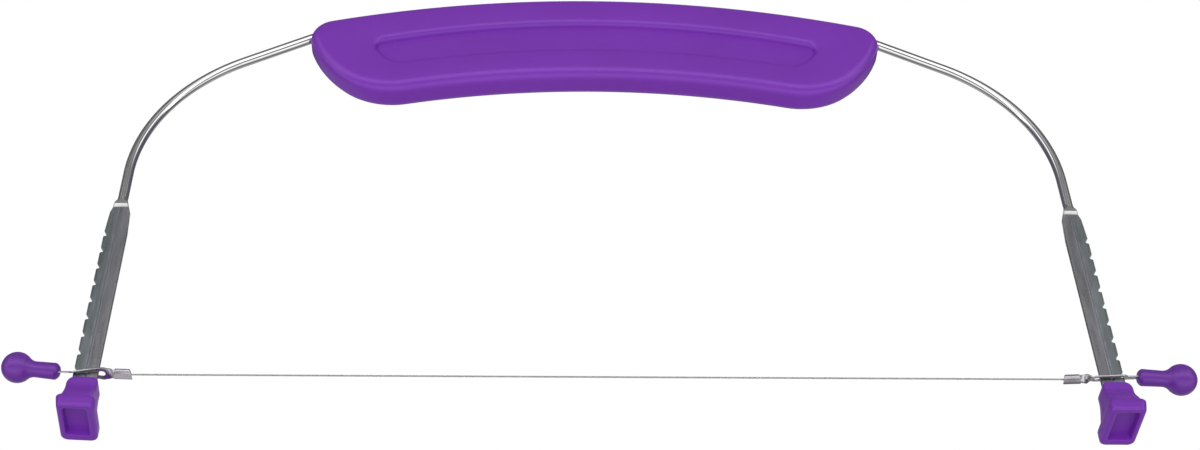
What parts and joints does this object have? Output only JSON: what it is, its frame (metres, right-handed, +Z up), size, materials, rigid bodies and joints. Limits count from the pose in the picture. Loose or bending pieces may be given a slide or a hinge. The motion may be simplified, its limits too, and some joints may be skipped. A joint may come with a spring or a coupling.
{
  "type": "cake leveler",
  "caption": "Cake leveler: arched steel bow with a moulded grip, notched legs on flat feet, and a taut cutting cable that hooks at adjustable heights.",
  "frame": {"origin": "on the table, midway between the two feet, under the middle of the grip", "axes": "+X from the left foot to the right foot, +Y from the grip's recessed front to its back, +Z up"},
  "size_m": [0.3048, 0.0152, 0.1587],
  "materials": {
    "grip_plastic": "smooth moulded purple, satin to semi-gloss",
    "foot_plastic": "smooth moulded purple, semi-gloss",
    "knob_plastic": "smooth moulded purple, semi-gloss",
    "bow_steel": "bright polished rod, duller where it is pressed flat",
    "link_steel": "stamped strip, satin",
    "cable_steel": "fine stranded cable"
  },
  "bodies": {
    "frame": {"bow_frame": "bow_steel", "handle_front_cover": "grip_plastic", "handle_back_cover": "grip_plastic", "left_foot": "foot_plastic", "right_foot": "foot_plastic"},
    "wire_unit": {"cutting_wire": "cable_steel", "left_wire_link": "link_steel", "right_wire_link": "link_steel", "left_knob": "knob_plastic", "right_knob": "knob_plastic"}
  },
  "joints": [
    {"name": "wire_height", "type": "slide", "parent": "frame", "child": "wire_unit", "axis": [0, 0, 1], "range_m": [0, 0.0468]}
  ]
}
